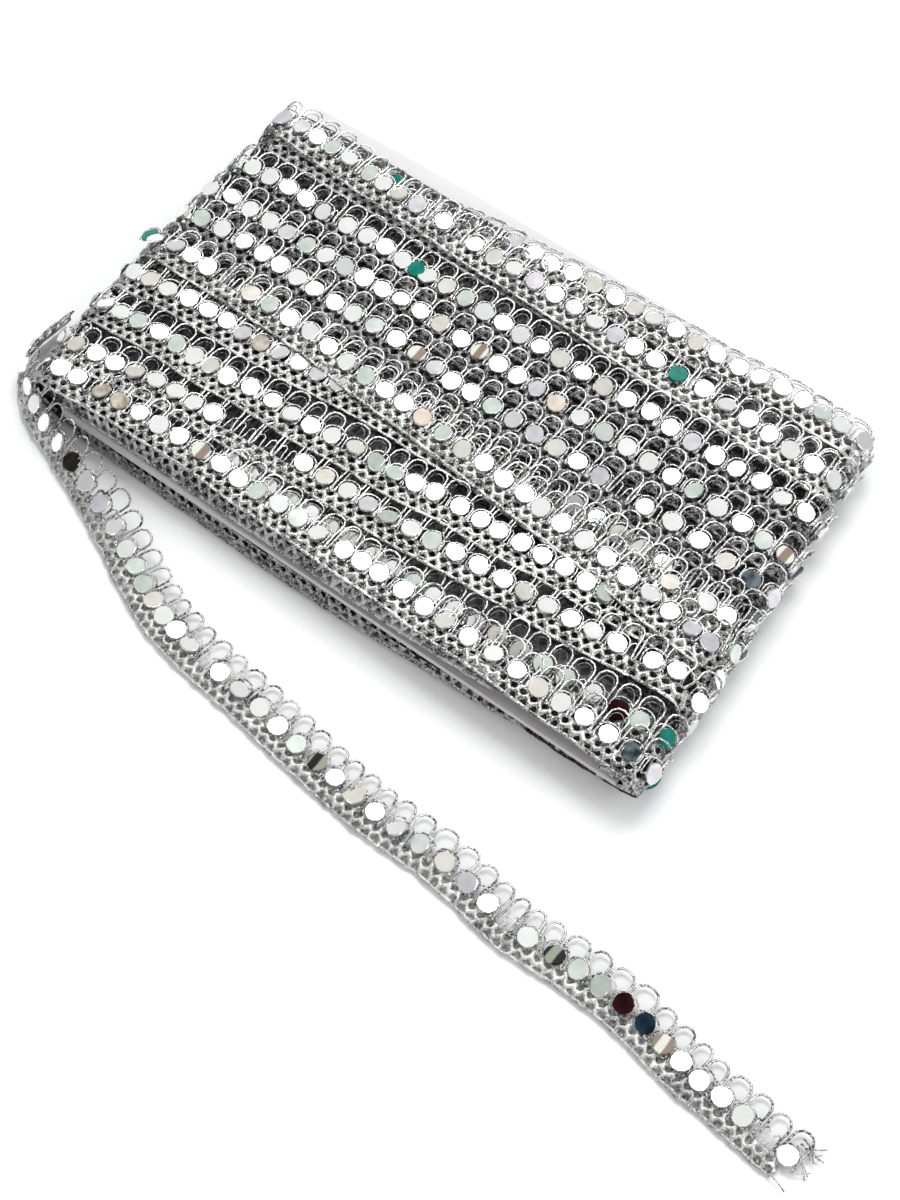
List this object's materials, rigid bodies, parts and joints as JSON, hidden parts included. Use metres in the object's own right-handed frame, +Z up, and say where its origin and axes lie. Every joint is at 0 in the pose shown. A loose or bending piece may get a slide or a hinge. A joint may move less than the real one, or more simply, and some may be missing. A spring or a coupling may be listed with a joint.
{
  "type": "mirror lace trim",
  "caption": "Narrow silver lace trim with a line of small round mirrors and a looped edge, wound flat around a white card, its loose end lying beside it.",
  "frame": {"origin": "on the surface, under the middle of the wound trim, on its flat underside", "axes": "+X along the rows of trim, from the end where the loose end leaves to the other end; +Y across the rows, away from the loose end; +Z up"},
  "size_m": [0.2337, 0.1462, 0.012],
  "materials": {
    "lace": "metallic silver thread, knitted",
    "mirror": "polished, slightly uneven",
    "card": "matt white board"
  },
  "bodies": {
    "root": {"card": "card", "wound_trim": "lace", "loose_end": "lace", "mirror_01": "mirror", "mirror_02": "mirror", "mirror_03": "mirror", "mirror_04": "mirror", "mirror_05": "mirror", "mirror_06": "mirror", "mirror_07": "mirror", "mirror_08": "mirror", "mirror_09": "mirror", "mirror_10": "mirror", "mirror_11": "mirror", "mirror_12": "mirror", "mirror_13": "mirror", "mirror_14": "mirror", "mirror_15": "mirror", "mirror_16": "mirror", "mirror_17": "mirror", "mirror_18": "mirror", "mirror_19": "mirror", "mirror_20": "mirror", "mirror_21": "mirror", "mirror_22": "mirror", "mirror_23": "mirror", "mirror_24": "mirror", "mirror_25": "mirror", "mirror_26": "mirror", "mirror_27": "mirror", "mirror_28": "mirror", "mirror_29": "mirror", "mirror_30": "mirror", "mirror_31": "mirror", "mirror_32": "mirror", "mirror_33": "mirror", "mirror_34": "mirror", "mirror_35": "mirror", "mirror_36": "mirror", "mirror_37": "mirror", "mirror_38": "mirror", "mirror_39": "mirror", "mirror_40": "mirror", "mirror_41": "mirror", "mirror_42": "mirror", "mirror_43": "mirror", "mirror_44": "mirror", "mirror_45": "mirror", "mirror_46": "mirror"}
  },
  "joints": []
}
